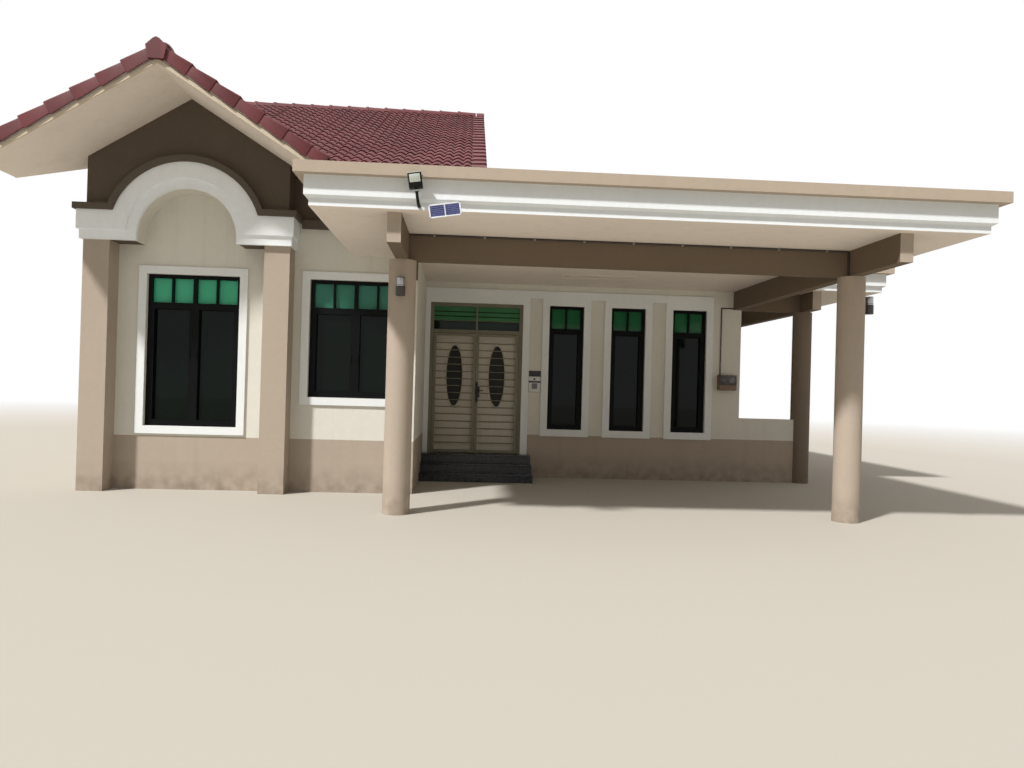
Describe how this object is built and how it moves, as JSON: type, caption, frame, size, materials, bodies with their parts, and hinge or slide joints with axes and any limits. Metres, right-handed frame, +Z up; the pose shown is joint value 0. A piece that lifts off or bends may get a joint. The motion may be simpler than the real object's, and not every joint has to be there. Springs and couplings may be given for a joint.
{
  "type": "single-storey bungalow",
  "caption": "Single-storey bungalow with an arched gable bay under tiled roofs, a flat-roofed car porch on round columns and hinged entrance doors behind security grilles.",
  "frame": {"origin": "the middle of the house on the ground, under the main ridge, on the underside of the floor", "axes": "+X to the right along the front, +Y from the front to the back, +Z up"},
  "size_m": [13.184, 14.987, 7.4525],
  "materials": {
    "wall_paint": "matt masonry paint",
    "taupe_paint": "matt masonry paint",
    "dark_taupe_paint": "matt masonry paint",
    "white_trim": "matt masonry paint on plaster",
    "beige_paint": "matt masonry paint",
    "concrete_floor": "cement screed",
    "step_tile": "polished tile",
    "roof_tile": "satin concrete tile",
    "window_frame": "powder coated",
    "tinted_glass": "tinted",
    "door_frame": "satin paint",
    "door_leaf": "satin paint",
    "door_glass": "obscured",
    "grille_paint": "satin paint",
    "lamp_metal": "satin",
    "flood_black": "powder coated",
    "solar_cell": "cells under glass",
    "lamp_white": "opal",
    "meter_case": "clear cover over a brown case",
    "plate_metal": "satin"
  },
  "bodies": {
    "house": {"floor_slab": "concrete_floor", "front_wall": "wall_paint", "left_wall": "wall_paint", "rear_wall": "wall_paint", "right_wall": "wall_paint", "return_wall": "wall_paint", "entrance_wall": "wall_paint", "entrance_lintel": "wall_paint", "entrance_nib": "wall_paint", "upper_gable_wall": "wall_paint", "gable_arch_wall": "dark_taupe_paint", "pillar_left": "taupe_paint", "pillar_right": "taupe_paint", "arch_band": "white_trim", "arch_coping": "taupe_paint", "wall_coping": "taupe_paint", "front_surrounds": "white_trim", "entrance_surround": "white_trim", "rear_surrounds": "white_trim", "front_window_frames": "window_frame", "front_window_glass": "tinted_glass", "slot_window_frames": "window_frame", "slot_window_glass": "tinted_glass", "rear_window_frames": "window_frame", "rear_window_glass": "tinted_glass", "door_frame": "door_frame", "transom_glass": "tinted_glass", "entrance_steps": "step_tile", "main_roof": "roof_tile", "bay_roof": "roof_tile", "ridge_tiles": "roof_tile", "bay_verge_tiles": "roof_tile", "main_verge_tiles": "roof_tile", "bay_bargeboard": "white_trim", "main_bargeboards": "white_trim", "flat_roof": "wall_paint", "cornice": "white_trim", "capping_band": "beige_paint", "front_beam": "taupe_paint", "side_beams": "taupe_paint", "cross_beams": "taupe_paint", "column_left": "taupe_paint", "column_right": "taupe_paint", "side_columns": "taupe_paint", "low_wall": "wall_paint", "wall_lamps": "lamp_metal", "flood_light": "flood_black", "solar_panel": "solar_cell", "tube_lamp": "lamp_white", "meter_box": "meter_case", "number_plate": "plate_metal"},
    "leaf_left": {"door_leaf_left": "door_leaf", "door_glass_left": "door_glass"},
    "leaf_right": {"door_leaf_right": "door_leaf", "door_glass_right": "door_glass"},
    "gate_left": {"grille_left": "grille_paint"},
    "gate_right": {"grille_right": "grille_paint"}
  },
  "joints": [
    {"name": "leaf_left_hinge", "type": "hinge", "parent": "house", "child": "leaf_left", "pos_m": [-0.416, -2.971, 1.4], "axis": [0, 0, 1], "range_deg": [0, 90]},
    {"name": "leaf_right_hinge", "type": "hinge", "parent": "house", "child": "leaf_right", "pos_m": [1.075, -2.971, 1.4], "axis": [0, 0, -1], "range_deg": [0, 90]},
    {"name": "gate_left_hinge", "type": "hinge", "parent": "house", "child": "gate_left", "pos_m": [-0.416, -3.109, 1.4], "axis": [0, 0, -1], "range_deg": [0, 90]},
    {"name": "gate_right_hinge", "type": "hinge", "parent": "house", "child": "gate_right", "pos_m": [1.075, -3.109, 1.4], "axis": [0, 0, 1], "range_deg": [0, 90]}
  ]
}
